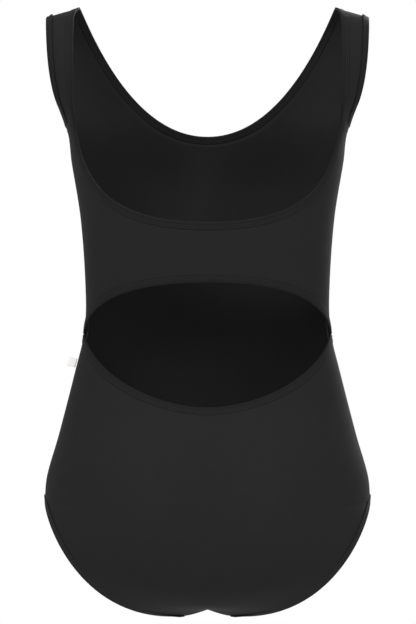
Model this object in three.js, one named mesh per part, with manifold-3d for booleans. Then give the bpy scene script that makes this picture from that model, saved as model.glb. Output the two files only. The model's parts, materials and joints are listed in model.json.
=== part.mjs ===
// A pull-on gymnastics and ballet leotard with a deep scooped back, a back band and an eye-shaped
// waist cutout, in the shape it takes when it is worn.
// Millimetres, +Z up. The origin is midway between the tops of the two shoulder straps.
// The wearer faces -Y, so the open back is at +Y and the wearer's left side is at +X.
//
// Every piece of cloth lies on one body surface, which is addressed by a face (BACK or FRONT),
// an angle phi round that face (0 at its centre line, +-90 degrees at the side seams) and a drop,
// the distance below the strap tops. Past the hip line the drop goes on round the seat to the crotch.

import * as THREE from "three";
import manifoldModule from "manifold-3d";

const manifold = await manifoldModule();
manifold.setup();

// ---------------------------------------------------------------- driving dimensions

const BACK = 1;
const FRONT = -1;
const SIDE = Math.PI / 2;

const SHOULDER_SLOPE_DROP = 11; // the strap's outer edge sits this far below its inner edge
const STRAP_INNER_X = 131;
const STRAP_OUTER_X = 166;
const UNDERARM_DROP = 120;
const UNDERARM_HALF_WIDTH = 146.5;
const WAIST_DROP = 300;
const WAIST_HALF_WIDTH = 125;
const CUTOUT_CORNER_DROP = 336; // where the eye-shaped cutout meets the side seams
const HIP_DROP = 508; // where the side seams end, at the top of the leg openings
const HIP_HALF_WIDTH = 167.4;
const YOKE_DROP = 236; // a mesh line across the front, under the bust
const BACK_DEPTH = 97; // from the side seams back, at the shoulder blades
const SEAT_DEPTH = 97;
const BUST_DEPTH = 93;
const BELLY_DEPTH = 88;

const NECK_FRONT_DROP = 129;
const NECK_BACK_DROP = 222;
const CUTOUT_TOP_DROP = 283.5;
const CUTOUT_BOTTOM_DROP = 409.5;

const CROTCH_DROP = HIP_DROP + 111;
const CROTCH_Y = 4;
const CROTCH_HALF_WIDTH = 31;
const CROTCH_RUN = 150; // from the hip line to the crotch seam, counted on the drop scale
const CLEFT_HEIGHT = 7; // from the leg openings' lowest points up to the centre line

const FABRIC = 0.8;
const LINING = 0.5;
const BINDING_WIDTH = 8;
const BINDING_CLOTH = 0.5;
const BINDING_THICKNESS = 2.6;
const ELASTIC_WIDTH = 5.5;
const ELASTIC_THICKNESS = 0.6;
const GAP = 0.35; // left between pieces that touch
const SEAM_GAP = 0.4; // left between two panels along their seam
const PANEL_TUCK = 4; // how far from a bound edge the panels start before they are trimmed
const MESH_TOLERANCE = 0.02; // flatter corners than this are dropped after a cut
const TRIM_DEPTH = 2.8; // how far the trimming reaches to each side of the cloth
const SEAM_TAPE_WIDTH = 4;
const SEAM_TAPE_THICKNESS = 0.9;
const SEAM_TAPE_SINK = 1.25; // from the lining to the seam allowances, which stand up a little
const GUSSET_WIDTH_SHARE = 0.72; // of the crotch between its leg edges
const CROTCH_SEAM_SHARE = 0.5;

const TAB_LENGTH = 10.5;
const TAB_HEIGHT = 9.4;
const TAB_DROP = 366;
const TAB_RIBBON = 0.35;
const TAB_THICKNESS = 1.2;
const LABEL_LENGTH = 28;
const LABEL_HEIGHT = 40;
const LABEL_THICKNESS = 0.5;
const LABEL_DROP = 420;
const LABEL_TURN = 24; // degrees that the label leans towards the back

// ---------------------------------------------------------------- materials

function cloth(colour, roughness) {
  return new THREE.MeshStandardMaterial({ color: colour, roughness, metalness: 0 });
}

const outerCloth = cloth(0x26262a, 0.72);
const liningCloth = cloth(0x1f1f22, 0.8);
const bindingCloth = cloth(0x222225, 0.68);
const elasticRubber = cloth(0x2d2c2b, 0.85);
const seamThread = cloth(0x1b1b1d, 0.9);
const tabRibbon = cloth(0xece9e4, 0.6);
const labelSatin = cloth(0xe4e2dd, 0.55);

// ---------------------------------------------------------------- the body surface

// A smooth function through a few [place, value] pairs.
function smoothThrough(pairs) {
  const slope = pairs.map((pair, i) => {
    const before = pairs[Math.max(i - 1, 0)];
    const after = pairs[Math.min(i + 1, pairs.length - 1)];
    return (after[1] - before[1]) / (after[0] - before[0]);
  });
  return (place) => {
    let i = 0;
    while (i < pairs.length - 2 && place > pairs[i + 1][0]) i += 1;
    const [from, low] = pairs[i];
    const [to, high] = pairs[i + 1];
    const span = to - from;
    const t = THREE.MathUtils.clamp((place - from) / span, 0, 1);
    const rise = high - low;
    const a = slope[i] * span - rise;
    const b = rise - slope[i + 1] * span;
    return low + rise * t + t * (1 - t) * (a * (1 - t) + b * t);
  };
}

// Widths and drops between two named ones, so that the outline follows them when they change.
const { lerp } = THREE.MathUtils;
const chestWidth = (share) => lerp(UNDERARM_HALF_WIDTH, WAIST_HALF_WIDTH, share);
const hipWidth = (share) => lerp(WAIST_HALF_WIDTH, HIP_HALF_WIDTH, share);
const chestDrop = (share) => lerp(UNDERARM_DROP, WAIST_DROP, share);
const hipDrop = (share) => lerp(WAIST_DROP, HIP_DROP, share);
const seatDrop = (share) => lerp(HIP_DROP, CROTCH_DROP, share);

const halfWidth = smoothThrough([
  [0, STRAP_INNER_X],
  [SHOULDER_SLOPE_DROP, STRAP_OUTER_X],
  [30, STRAP_OUTER_X + 14],
  [60, STRAP_OUTER_X + 18],
  [92, STRAP_OUTER_X + 4],
  [UNDERARM_DROP, UNDERARM_HALF_WIDTH],
  [chestDrop(0.22), chestWidth(0.33)],
  [chestDrop(0.56), chestWidth(0.77)],
  [WAIST_DROP, WAIST_HALF_WIDTH],
  [CUTOUT_CORNER_DROP, hipWidth(0.05)],
  [hipDrop(0.35), hipWidth(0.25)],
  [hipDrop(0.67), hipWidth(0.66)],
  [hipDrop(0.88), hipWidth(0.94)],
  [HIP_DROP, HIP_HALF_WIDTH],
]);

const backDepth = smoothThrough([
  [0, 36],
  [30, 68],
  [60, 84],
  [chestDrop(0.06), BACK_DEPTH],
  [chestDrop(0.57), 89],
  [hipDrop(0.05), 73],
  [hipDrop(0.48), 80],
  [hipDrop(0.77), 94],
  [HIP_DROP, SEAT_DEPTH],
]);

const frontDepth = smoothThrough([
  [0, 34],
  [30, 60],
  [60, 70],
  [chestDrop(0.06), 86],
  [chestDrop(0.33), BUST_DEPTH],
  [chestDrop(0.64), 86],
  [hipDrop(0.05), 78],
  [hipDrop(0.48), BELLY_DEPTH],
  [hipDrop(0.77), 90],
  [HIP_DROP, BELLY_DEPTH],
]);

// The centre line from the hip line (0) round to the crotch seam (1).
const seatCentreY = smoothThrough([
  [0, SEAT_DEPTH],
  [0.25, SEAT_DEPTH - 1],
  [0.5, SEAT_DEPTH - 13],
  [0.75, SEAT_DEPTH - 47],
  [1, CROTCH_Y],
]);
const frontCentreY = smoothThrough([
  [0, -BELLY_DEPTH],
  [0.25, -BELLY_DEPTH + 4],
  [0.5, -BELLY_DEPTH + 17],
  [0.75, -BELLY_DEPTH + 46],
  [1, CROTCH_Y],
]);
const centreDrop = smoothThrough([
  [0, HIP_DROP],
  [0.25, seatDrop(0.36)],
  [0.5, seatDrop(0.72)],
  [0.75, seatDrop(0.94)],
  [1, CROTCH_DROP],
]);

// The leg opening's edge from the hip to the crotch seam, over the seat and over the groin. Its z is a drop.
const LEG_LOW_DROP = CROTCH_DROP + CLEFT_HEIGHT;
const hipSide = new THREE.Vector3(HIP_HALF_WIDTH, 0, HIP_DROP);
const crotchSide = new THREE.Vector3(CROTCH_HALF_WIDTH, CROTCH_Y, LEG_LOW_DROP);
const seatLine = new THREE.CubicBezierCurve3(
  hipSide,
  new THREE.Vector3(HIP_HALF_WIDTH - 1.4, 75, HIP_DROP + 15),
  new THREE.Vector3(CROTCH_HALF_WIDTH + 100, 80, LEG_LOW_DROP),
  crotchSide,
);
const groinLine = new THREE.CubicBezierCurve3(
  hipSide,
  new THREE.Vector3(HIP_HALF_WIDTH, -60, HIP_DROP + 4),
  new THREE.Vector3(CROTCH_HALF_WIDTH + 19, -85, LEG_LOW_DROP - 32),
  crotchSide,
);

function hill(x, drop, centreX, centreDrop, spreadX, spreadDrop) {
  const across = (Math.abs(x) - centreX) / spreadX;
  const down = (drop - centreDrop) / spreadDrop;
  return Math.exp(-(across * across + down * down) / 2);
}

const BOXINESS = 0.15; // how much fuller than an ellipse the sections are

// How far a section stands out at an angle round it, as a share of its depth at the centre line.
function fullness(angle) {
  return Math.cos(angle) * (1 + BOXINESS * Math.sin(angle) ** 2);
}

function bodyPoint(face, phi, run) {
  const share = Math.max(0, run - HIP_DROP) / CROTCH_RUN;
  let x;
  let y;
  let drop;
  if (share === 0) {
    x = halfWidth(run) * Math.sin(phi);
    y = face * (face === BACK ? backDepth(run) : frontDepth(run)) * fullness(phi);
    drop = run;
  } else {
    const edge = (face === BACK ? seatLine : groinLine).getPoint(share);
    const centreY = (face === BACK ? seatCentreY : frontCentreY)(share);
    const low = centreDrop(share);
    const reach = Math.asin(Math.min(edge.x / HIP_HALF_WIDTH, 1)); // the part of the hip section left
    const turn = (reach * phi) / SIDE;
    const outward = (1 - fullness(turn)) / (1 - fullness(reach));
    const cleft = lerp(outward, Math.abs(Math.sin(phi)), share ** 4);
    x = (edge.x * Math.sin(turn)) / Math.sin(reach);
    y = centreY + (edge.y - centreY) * outward;
    drop = low + (edge.z - low) * cleft;
  }
  const inside = Math.cos(phi) * (1 - share * share); // the fullness dies out at every seam
  if (face === BACK) {
    const seat = 19 * hill(x, drop, 70, 522, 44, 55) * inside;
    const tilt = share * 1.1;
    y += seat * Math.cos(tilt);
    drop += seat * Math.sin(tilt);
  } else {
    y -= 16 * hill(x, drop, 66, 182, 36, 36) * inside;
  }
  return new THREE.Vector3(x, y, -drop);
}

// The surface's outward normal and its two tangents, by small steps that stay on the face.
function bodyFrame(face, phi, run) {
  const step = 1e-3;
  const phiStep = phi > 0 ? -step : step;
  const runStep = run > HIP_DROP || run < 1 ? 0.2 : -0.2;
  const here = bodyPoint(face, phi, run);
  const alongPhi = bodyPoint(face, phi + phiStep, run).sub(here).divideScalar(phiStep);
  const alongRun = bodyPoint(face, phi, run + runStep).sub(here).divideScalar(runStep);
  const normal = alongPhi.clone().cross(alongRun).multiplyScalar(face).normalize();
  return { here, alongPhi, alongRun, normal };
}

// ---------------------------------------------------------------- edge lines on the body

const at = (face, phi, run) => ({ face, phi, run });
const place = (p) => bodyPoint(p.face, p.phi, p.run);

// A drawn outline, in (half-width, drop), as points on one face of the body.
function onBody(face, path, count) {
  return path.getSpacedPoints(count).map((p) => {
    const sine = THREE.MathUtils.clamp(p.x / halfWidth(p.y), -1, 1);
    return at(face, Math.asin(sine), p.y);
  });
}

function backNeckPath() {
  const straight = STRAP_INNER_X + 6;
  return new THREE.Path()
    .moveTo(STRAP_INNER_X, 0)
    .bezierCurveTo(STRAP_INNER_X + 4, 3, straight, 9, straight, 18)
    .lineTo(straight, 105)
    .bezierCurveTo(straight - 5, 195, 85, NECK_BACK_DROP, 0, NECK_BACK_DROP);
}

function frontNeckPath() {
  return new THREE.Path()
    .moveTo(STRAP_INNER_X, 0)
    .bezierCurveTo(112, 45, 70, NECK_FRONT_DROP, 0, NECK_FRONT_DROP);
}

function backArmholePath() {
  return new THREE.Path()
    .moveTo(STRAP_OUTER_X, SHOULDER_SLOPE_DROP)
    .bezierCurveTo(164.5, 45, 162, 78, 154, 99)
    .bezierCurveTo(150, 109, 147.5, 115, UNDERARM_HALF_WIDTH, UNDERARM_DROP);
}

function frontArmholePath() {
  return new THREE.Path()
    .moveTo(STRAP_OUTER_X, SHOULDER_SLOPE_DROP)
    .bezierCurveTo(160, 40, 149, 66, 147.5, 94)
    .bezierCurveTo(147, 106, 147, 114, UNDERARM_HALF_WIDTH, UNDERARM_DROP);
}

function cutoutTopPath() {
  return new THREE.Path()
    .moveTo(0, CUTOUT_TOP_DROP)
    .bezierCurveTo(60, CUTOUT_TOP_DROP, 120, 293, halfWidth(CUTOUT_CORNER_DROP), CUTOUT_CORNER_DROP);
}

function cutoutBottomPath() {
  return new THREE.Path()
    .moveTo(0, CUTOUT_BOTTOM_DROP)
    .bezierCurveTo(50, CUTOUT_BOTTOM_DROP, 113, 380, halfWidth(CUTOUT_CORNER_DROP), CUTOUT_CORNER_DROP);
}

function evenly(line, count) {
  const length = [0];
  for (let i = 1; i < line.length; i += 1) {
    length.push(length[i - 1] + place(line[i]).distanceTo(place(line[i - 1])));
  }
  const total = length[length.length - 1];
  return Array.from({ length: count + 1 }, (_, k) => alongLine(line, length, (total * k) / count));
}

function alongLine(line, length, distance) {
  let i = 1;
  while (i < line.length - 1 && length[i] < distance) i += 1;
  const t = THREE.MathUtils.clamp((distance - length[i - 1]) / (length[i] - length[i - 1]), 0, 1);
  const a = line[i - 1];
  const b = line[i];
  return at(t < 0.5 ? a.face : b.face, lerp(a.phi, b.phi, t), lerp(a.run, b.run, t));
}

const NORMAL_SMOOTHING = 5;

// Frames along an edge: where it is, which way it runs, the cloth's normal, and the way into the cloth.
// The hint is a direction at each point that leads, on the whole, into the cloth.
function edgeFrames(line, closed, inwardHint) {
  const frames = line.map((p) => bodyFrame(p.face, p.phi, p.run));
  const n = frames.length;
  const next = (i) => (closed ? (i + 1) % n : Math.min(i + 1, n - 1));
  const back = (i) => (closed ? (i + n - 1) % n : Math.max(i - 1, 0));
  let normals = frames.map((f) => f.normal);
  for (let pass = 0; pass < NORMAL_SMOOTHING; pass += 1) {
    normals = normals.map((v, i) =>
      v.clone().multiplyScalar(2).add(normals[next(i)]).add(normals[back(i)]).normalize(),
    );
  }
  const framed = frames.map((f, i) => {
    const tangent = frames[next(i)].here.clone().sub(frames[back(i)].here).normalize();
    const normal = normals[i].clone().addScaledVector(tangent, -normals[i].dot(tangent)).normalize();
    return { here: f.here, tangent, normal, inward: normal.clone().cross(tangent) };
  });
  const agreement = framed.reduce((sum, f) => sum + f.inward.dot(inwardHint(f.here)), 0);
  if (agreement < 0) framed.forEach((f) => f.inward.negate());
  return framed;
}

// An edge line moved into the cloth by a distance. Points that lie on a seam stay on it.
function inset(line, distance, inwardHint) {
  const frames = edgeFrames(line, false, inwardHint);
  return line.map((p, i) => {
    let phi = p.phi;
    let run = p.run;
    const onSide = Math.abs(Math.abs(p.phi) - SIDE) < 1e-6 && p.run <= HIP_DROP;
    const onCentre = Math.abs(p.phi) < 1e-6;
    const steps = 3;
    for (let k = 0; k < steps; k += 1) {
      const f = bodyFrame(p.face, phi, run);
      const move = frames[i].inward.clone().multiplyScalar(distance / steps);
      const uu = f.alongPhi.dot(f.alongPhi);
      const uv = f.alongPhi.dot(f.alongRun);
      const vv = f.alongRun.dot(f.alongRun);
      const mu = move.dot(f.alongPhi);
      const mv = move.dot(f.alongRun);
      const scale = uu * vv - uv * uv;
      phi += onSide || onCentre ? 0 : (mu * vv - mv * uv) / scale;
      run += onSide || onCentre ? mv / vv : (mv * uu - mu * uv) / scale;
    }
    return at(p.face, THREE.MathUtils.clamp(phi, -SIDE, SIDE), run);
  });
}

// ---------------------------------------------------------------- solids

const WAIST_CENTRE = new THREE.Vector3(0, 0, -WAIST_DROP);

// A closed solid between two offsets of a sheet, counted outwards. The sheet is rows of points, or
// several such blocks that share their border points.
function thickSheet(blocks, innerOffset, outerOffset) {
  const points = [];
  const index = new Map();
  const quads = [];
  const keep = (v) => {
    const key = [v.x, v.y, v.z].map((c) => Math.round(c * 200)).join();
    if (!index.has(key)) {
      index.set(key, points.length);
      points.push(v);
    }
    return index.get(key);
  };
  for (const rows of blocks) {
    const ids = rows.map((row) => row.map(keep));
    for (let i = 0; i + 1 < ids.length; i += 1) {
      for (let j = 0; j + 1 < ids[i].length; j += 1) {
        const quad = [ids[i][j], ids[i][j + 1], ids[i + 1][j + 1], ids[i + 1][j]];
        quads.push(quad.filter((id, k) => id !== quad[(k + 1) % 4]));
      }
    }
  }
  const triangles = quads.flatMap((q) => (q.length === 4 ? [[q[0], q[1], q[2]], [q[0], q[2], q[3]]] : [q]));
  const normals = points.map(() => new THREE.Vector3());
  for (const [a, b, c] of triangles) {
    const face = points[b].clone().sub(points[a]).cross(points[c].clone().sub(points[a]));
    for (const id of [a, b, c]) normals[id].add(face);
  }
  normals.forEach((v) => v.normalize());
  const outward = points.reduce((sum, v, i) => sum + normals[i].dot(v.clone().sub(WAIST_CENTRE)), 0);
  if (outward < 0) normals.forEach((v) => v.negate());
  const count = points.length;
  const positions = [innerOffset, outerOffset].flatMap((offset) =>
    points.flatMap((p, i) => p.clone().addScaledVector(normals[i], offset).toArray()),
  );
  const borders = new Map();
  for (const t of triangles) {
    t.forEach((id, k) => {
      const pair = [id, t[(k + 1) % 3]];
      const other = pair[1] + "," + pair[0];
      if (borders.has(other)) borders.delete(other);
      else borders.set(pair.join(), pair);
    });
  }
  const faces = triangles.flatMap(([a, b, c]) => [c, b, a, a + count, b + count, c + count]);
  for (const [a, b] of borders.values()) faces.push(a, b, b + count, a, b + count, a + count);
  return solidGeometry(positions, faces);
}

function solidGeometry(positions, faces) {
  const geometry = new THREE.BufferGeometry();
  geometry.setAttribute("position", new THREE.Float32BufferAttribute(positions, 3));
  geometry.setIndex(faces);
  if (signedVolume(geometry) < 0) {
    geometry.setIndex([...faces].reverse());
  }
  return geometry;
}

function solidOf(geometry) {
  const mesh = new manifold.Mesh({
    numProp: 3,
    vertProperties: geometry.getAttribute("position").array,
    triVerts: new Uint32Array(geometry.index.array),
  });
  return new manifold.Manifold(mesh);
}

function geometryOf(solid) {
  const mesh = solid.getMesh();
  const geometry = new THREE.BufferGeometry();
  geometry.setAttribute("position", new THREE.BufferAttribute(mesh.vertProperties, 3));
  return geometry.setIndex(new THREE.BufferAttribute(mesh.triVerts, 1));
}

// A geometry with some others taken out of it, less any scrap that the cuts part from it.
function trimmed(geometry, cutters) {
  const cut = cutters.reduce((solid, cutter) => solid.subtract(solidOf(cutter)), solidOf(geometry));
  const bodies = cut.simplify(MESH_TOLERANCE).decompose();
  return geometryOf(bodies.reduce((largest, body) => (body.volume() > largest.volume() ? body : largest)));
}

function block(x, y, z, width, depth, height) {
  const solid = manifold.Manifold.cube([width, depth, height], true).translate([x, y, z]);
  return geometryOf(solid);
}

function signedVolume(geometry) {
  const position = geometry.getAttribute("position");
  const [a, b, c] = [new THREE.Vector3(), new THREE.Vector3(), new THREE.Vector3()];
  let sum = 0;
  for (let i = 0; i < geometry.index.count; i += 3) {
    a.fromBufferAttribute(position, geometry.index.getX(i));
    b.fromBufferAttribute(position, geometry.index.getX(i + 1));
    c.fromBufferAttribute(position, geometry.index.getX(i + 2));
    sum += a.dot(b.cross(c));
  }
  return sum / 6;
}

// A section, in (into the cloth, along its normal), swept along edge frames.
function sweep(frames, section, closed) {
  const positions = frames.flatMap((f) =>
    section.flatMap(([d, n]) =>
      f.here.clone().addScaledVector(f.inward, d).addScaledVector(f.normal, n).toArray(),
    ),
  );
  const m = section.length;
  const faces = [];
  const rings = closed ? frames.length : frames.length - 1;
  for (let i = 0; i < rings; i += 1) {
    const here = i * m;
    const there = ((i + 1) % frames.length) * m;
    for (let j = 0; j < m; j += 1) {
      const k = (j + 1) % m;
      faces.push(here + j, there + j, there + k, here + j, there + k, here + k);
    }
  }
  if (!closed) {
    const outline = section.map(([d, n]) => new THREE.Vector2(d, n));
    const caps = THREE.ShapeUtils.triangulateShape(outline, []);
    const last = (frames.length - 1) * m;
    const clockwise = THREE.ShapeUtils.isClockWise(outline);
    for (const cap of caps) {
      const [a, b, c] = clockwise ? [cap[2], cap[1], cap[0]] : cap;
      faces.push(a, b, c, last + c, last + b, last + a);
    }
  }
  return solidGeometry(positions, faces);
}

// ---------------------------------------------------------------- bindings and elastics

// A folded strip of cloth round the edge, open on the side where the panel goes in.
function bindingSection() {
  const half = BINDING_THICKNESS / 2;
  const inner = half - BINDING_CLOTH;
  return [
    [BINDING_WIDTH, half],
    [0, half],
    [0, -half],
    [BINDING_WIDTH, -half],
    [BINDING_WIDTH, -inner],
    [BINDING_CLOTH, -inner],
    [BINDING_CLOTH, inner],
    [BINDING_WIDTH, inner],
  ];
}

function elasticSection() {
  const near = BINDING_CLOTH + GAP;
  const far = near + ELASTIC_WIDTH;
  const half = ELASTIC_THICKNESS / 2;
  return [[near, half], [far, half], [far, -half], [near, -half]];
}

// What a binding keeps clear of panels: it reaches past the edge and well to each side of the cloth.
function panelTrimSection() {
  const far = BINDING_WIDTH + GAP;
  return [[far, TRIM_DEPTH], [-PANEL_TUCK, TRIM_DEPTH], [-PANEL_TUCK, -TRIM_DEPTH], [far, -TRIM_DEPTH]];
}

function clearanceSection() {
  const far = BINDING_WIDTH + GAP;
  const half = BINDING_THICKNESS / 2 + GAP;
  return [[far, half], [-GAP, half], [-GAP, -half], [far, -half]];
}

const away = (x, y, z) => (p) => new THREE.Vector3(p.x - x, p.y - y, p.z - z);
const upward = () => new THREE.Vector3(0, 0, 1);
const downward = () => new THREE.Vector3(0, 0, -1);
const intoNeckline = away(0, 0, -40);
const intoArmhole = (side) => away(side * 230, 0, -62);
const intoLegOpening = (side) => away(side * 95, 0, -640);

const otherSide = (line) => line.map((p) => at(p.face, -p.phi, p.run));

function halfEdge(face, path, count) {
  return evenly(onBody(face, path, 160), count);
}

function neckLoop() {
  const behind = halfEdge(BACK, backNeckPath(), 17);
  const before = halfEdge(FRONT, frontNeckPath(), 11);
  return [
    ...behind,
    ...otherSide(behind).reverse().slice(1),
    ...otherSide(before).slice(1),
    ...before.slice(1, -1).reverse(),
  ];
}

function armholeLoop(side) {
  const behind = halfEdge(BACK, backArmholePath(), 11);
  const before = halfEdge(FRONT, frontArmholePath(), 11).reverse();
  return [...behind, ...before.slice(1, -1)].map((p) => at(p.face, p.phi * side, p.run));
}

function legLine(face, side, count) {
  const fine = Array.from({ length: 161 }, (_, i) => at(face, SIDE, HIP_DROP + (CROTCH_RUN * i) / 160));
  return evenly(fine, count).map((p) => at(face, p.phi * side, p.run));
}

function legLoop(side) {
  const behind = legLine(BACK, side, 20);
  const before = legLine(FRONT, side, 19).reverse();
  return [...behind, ...before.slice(1, -1)];
}

// A cutout edge from side seam to side seam, with its ends run on past the seams to be trimmed there.
function cutoutFrames(path, hint) {
  const half = halfEdge(BACK, path, 10);
  const frames = edgeFrames([...otherSide(half).reverse(), ...half.slice(1)], false, hint);
  frames[0].here.addScaledVector(frames[0].tangent, -PANEL_TUCK);
  const last = frames[frames.length - 1];
  last.here.addScaledVector(last.tangent, PANEL_TUCK);
  return frames;
}

const neckFrames = edgeFrames(neckLoop(), true, intoNeckline);
const upperCutoutFrames = cutoutFrames(cutoutTopPath(), upward);
const lowerCutoutFrames = cutoutFrames(cutoutBottomPath(), downward);
const sides = [["left", 1], ["right", -1]];
const armholeFrames = sides.map(([, side]) => edgeFrames(armholeLoop(side), true, intoArmhole(side)));
const legFrames = sides.map(([, side]) => edgeFrames(legLoop(side), true, intoLegOpening(side)));

const panelTrim = (frames, closed) => sweep(frames, panelTrimSection(), closed);
const openEdgeTrims = [neckFrames, ...armholeFrames, ...legFrames].map((frames) => panelTrim(frames, true));
const cutoutTrims = [upperCutoutFrames, lowerCutoutFrames].map((frames) => panelTrim(frames, false));

// Everything behind, or in front of, the side and shoulder seams and the crotch seam, so that the
// front and back pieces stop half a seam gap short of them.
const SPAN = 2 * (HIP_HALF_WIDTH + BINDING_WIDTH);
function pastSeams(side) {
  const shift = (side * (SPAN - SEAM_GAP)) / 2;
  return [
    block(0, shift, (6 * BINDING_WIDTH - HIP_DROP) / 2, SPAN, SPAN, HIP_DROP + 6 * BINDING_WIDTH),
    block(0, CROTCH_Y + shift, -CROTCH_DROP, 4 * CROTCH_HALF_WIDTH, SPAN, 3 * BINDING_WIDTH),
  ];
}
const behindSeams = pastSeams(BACK);
const beforeSeams = pastSeams(FRONT);

// ---------------------------------------------------------------- panels

const CROTCH_END = HIP_DROP + CROTCH_RUN;

// The angle of a panel's outer border at each drop below the underarm: the side seam, then the leg
// opening's inset line.
function outerBorder(face) {
  const line = inset(legLine(face, 1, 60), PANEL_TUCK, intoLegOpening(1));
  const leg = line.filter((p) => p.run > HIP_DROP - 30);
  const top = leg[0].run;
  return (run) => {
    if (run <= top) return SIDE;
    let i = 1;
    while (i < leg.length - 1 && leg[i].run < run) i += 1;
    const a = leg[i - 1];
    const b = leg[i];
    const t = THREE.MathUtils.clamp((run - a.run) / Math.max(b.run - a.run, 1e-6), 0, 1);
    return lerp(a.phi, b.phi, t);
  };
}

// The drops of a panel's rows down the side seam and round the leg opening.
function rowRuns(from) {
  const sideRows = Math.max(2, Math.round((HIP_DROP - 6 - from) / 30));
  const side = Array.from({ length: sideRows }, (_, i) => from + ((HIP_DROP - 6 - from) * i) / sideRows);
  const leg = [-6, 0, 8, 22, 40, 60, 80, 100, 120, 136].map((d) => HIP_DROP + d);
  return [...side, ...leg, CROTCH_END];
}

const mirrorX = (v) => new THREE.Vector3(-v.x, v.y, v.z);

// A strip from an outer to an inner line, on both halves of the body.
function stripBothSides(outer, inner, across) {
  const half = outer.map((a, i) =>
    Array.from({ length: across + 1 }, (_, k) => {
      const t = k / across;
      const b = inner[i];
      return place(at(a.face, lerp(a.phi, b.phi, t), lerp(a.run, b.run, t)));
    }),
  );
  const other = half.map((row) => row.map(mirrorX)).reverse();
  return [...other.slice(0, -1), ...half];
}

function splitLine(line, shares, counts) {
  const length = [0];
  for (let i = 1; i < line.length; i += 1) {
    length.push(length[i - 1] + place(line[i]).distanceTo(place(line[i - 1])));
  }
  const total = length[length.length - 1];
  const found = [];
  let from = 0;
  shares.forEach((to, part) => {
    for (let k = part === 0 ? 0 : 1; k <= counts[part]; k += 1) {
      found.push(alongLine(line, length, total * lerp(from, to, k / counts[part])));
    }
    from = to;
  });
  return found;
}

function sideLine(face, from, to, count) {
  return Array.from({ length: count + 1 }, (_, i) => {
    const run = lerp(from, to, i / count);
    return at(face, SIDE, run);
  });
}

function tucked(face, path, hint) {
  return inset(onBody(face, path, 120), PANEL_TUCK, hint);
}

// The back band with its two straps: between the neck edge above and the cutout, side seam and
// armhole edges outside.
function upperBackBlocks() {
  const neck = tucked(BACK, backNeckPath(), intoNeckline).reverse();
  const cutout = evenly(tucked(BACK, cutoutTopPath(), upward), 7);
  const armhole = evenly(tucked(BACK, backArmholePath(), intoArmhole(1)).reverse(), 7);
  const side = sideLine(BACK, cutout[cutout.length - 1].run, armhole[0].run, 7);
  const outer = [...cutout, ...side.slice(1, -1), ...armhole];
  const inner = splitLine(neck, [0.34, 0.56, 1], [7, 7, 7]);
  return [stripBothSides(outer, inner, 3)];
}

// The front: a collar-like strip round the neck down to the yoke line, then the body of the panel.
function frontBlocks() {
  const columns = 6;
  const neck = tucked(FRONT, frontNeckPath(), intoNeckline).reverse();
  const armhole = evenly(tucked(FRONT, frontArmholePath(), intoArmhole(1)).reverse(), 6);
  const yoke = Array.from({ length: columns + 1 }, (_, i) => at(FRONT, (SIDE * i) / columns, YOKE_DROP));
  const side = sideLine(FRONT, YOKE_DROP, armhole[0].run, 4);
  const outer = [...yoke, ...side.slice(1, -1), ...armhole];
  const inner = splitLine(neck, [0.3, 0.45, 1], [columns, 4, 6]);
  const border = outerBorder(FRONT);
  const rows = rowRuns(YOKE_DROP).map((run) => {
    const half = yoke.map((_, i) => place(at(FRONT, (border(run) * i) / columns, run)));
    return [...half.slice(1).map(mirrorX).reverse(), ...half];
  });
  return [stripBothSides(outer, inner, 4), rows];
}

// The seat, from the cutout's lower edge to the crotch seam.
function seatBlocks() {
  const columns = 8;
  const top = evenly(tucked(BACK, cutoutBottomPath(), downward), columns);
  const border = outerBorder(BACK);
  const runs = rowRuns(top[columns].run);
  const share = (run) => (CROTCH_END - run) / (CROTCH_END - runs[0]);
  const rows = runs.map((sideRun, k) => {
    const settle = THREE.MathUtils.smoothstep(k / (runs.length - 1), 0, 0.55);
    const half = top.map((p, i) => {
      const run = CROTCH_END - (CROTCH_END - p.run) * share(sideRun);
      const even = (border(i === columns ? sideRun : run) * i) / columns;
      return place(at(BACK, lerp(p.phi, even, i === columns ? 1 : settle), run));
    });
    return [...half.slice(1).map(mirrorX).reverse(), ...half];
  });
  return [rows];
}

// The gusset lining inside the crotch, which crosses the crotch seam.
function gussetBlocks() {
  const shares = [0.68, 0.78, 0.89, 1];
  const row = (face, share) => {
    const run = HIP_DROP + CROTCH_RUN * share;
    const widest = outerBorder(face)(run) * GUSSET_WIDTH_SHARE;
    const half = [0, 1 / 3, 2 / 3, 1].map((t) => place(at(face, widest * t, run)));
    return [...half.slice(1).map(mirrorX).reverse(), ...half];
  };
  const before = shares.map((share) => row(FRONT, share));
  const behind = shares.map((share) => row(BACK, share)).reverse();
  return [[...before, ...behind.slice(1)]];
}

// ---------------------------------------------------------------- seams inside the garment

// A line of overlocked seam allowance inside the cloth, as a flat tape.
const SEAM_TAPE_TOP = -FABRIC / 2 - GAP - LINING - SEAM_TAPE_SINK;
const SEAM_TAPE_LOW = SEAM_TAPE_TOP - SEAM_TAPE_THICKNESS;

function seamTape(points, normals) {
  const frames = points.map((here, i) => {
    const after = points[Math.min(i + 1, points.length - 1)];
    const tangent = after.clone().sub(points[Math.max(i - 1, 0)]).normalize();
    const normal = normals[i].clone().addScaledVector(tangent, -normals[i].dot(tangent)).normalize();
    return { here, normal, inward: normal.clone().cross(tangent) };
  });
  const half = SEAM_TAPE_WIDTH / 2;
  const section = [
    [half, SEAM_TAPE_TOP],
    [-half, SEAM_TAPE_TOP],
    [-half, SEAM_TAPE_LOW],
    [half, SEAM_TAPE_LOW],
  ];
  return sweep(frames, section, false);
}

function seamOnSide(side, from, to, count, normal) {
  const runs = Array.from({ length: count + 1 }, (_, i) => lerp(from, to, i / count));
  const points = runs.map((run) => bodyPoint(BACK, side * SIDE, run));
  return seamTape(points, points.map(() => normal));
}

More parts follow.
